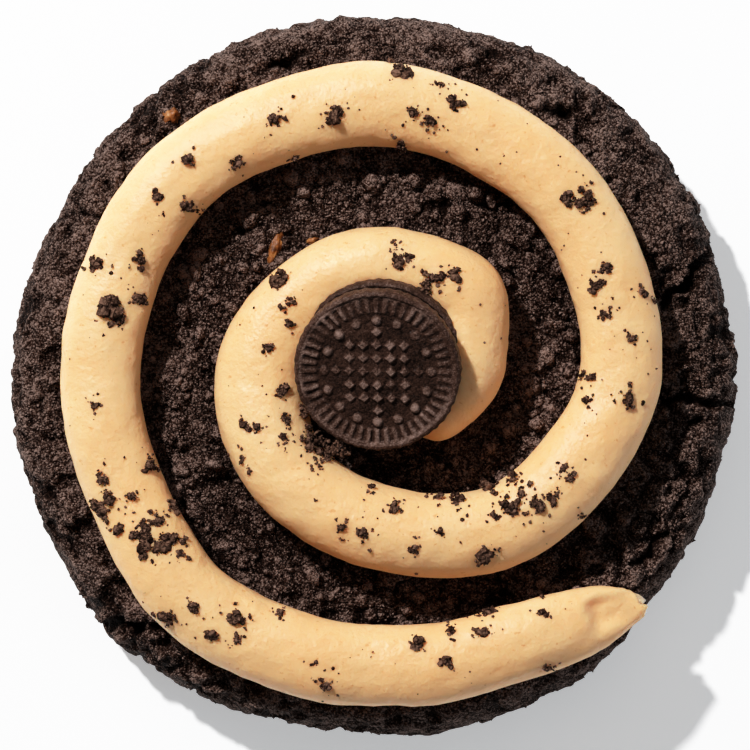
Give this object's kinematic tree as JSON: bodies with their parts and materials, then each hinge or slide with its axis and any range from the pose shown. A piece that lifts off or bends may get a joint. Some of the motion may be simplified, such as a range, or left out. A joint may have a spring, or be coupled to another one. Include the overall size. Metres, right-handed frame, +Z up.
{
  "type": "chocolate cookie with peanut butter swirl",
  "caption": "Thick round chocolate cookie with a cracked crust, a piped spiral of peanut butter frosting, biscuit crumbs and a small chocolate sandwich biscuit tipped on its middle.",
  "frame": {"origin": "middle of the flat underside of the cookie", "axes": "+Z up; seen from above with +Y at the top, the spiral winds outwards anticlockwise and ends towards +X and -Y"},
  "size_m": [0.1144, 0.1133, 0.0363],
  "materials": {
    "chocolate_crust": "rough dark baked crumb",
    "peanut_butter_frosting": "soft satin frosting",
    "chocolate_wafer": "matt embossed biscuit",
    "vanilla_cream": "smooth cream"
  },
  "bodies": {
    "root": {"cookie": "chocolate_crust", "swirl": "peanut_butter_frosting", "sandwich_lower_wafer": "chocolate_wafer", "sandwich_cream": "vanilla_cream", "sandwich_upper_wafer": "chocolate_wafer"}
  },
  "joints": []
}
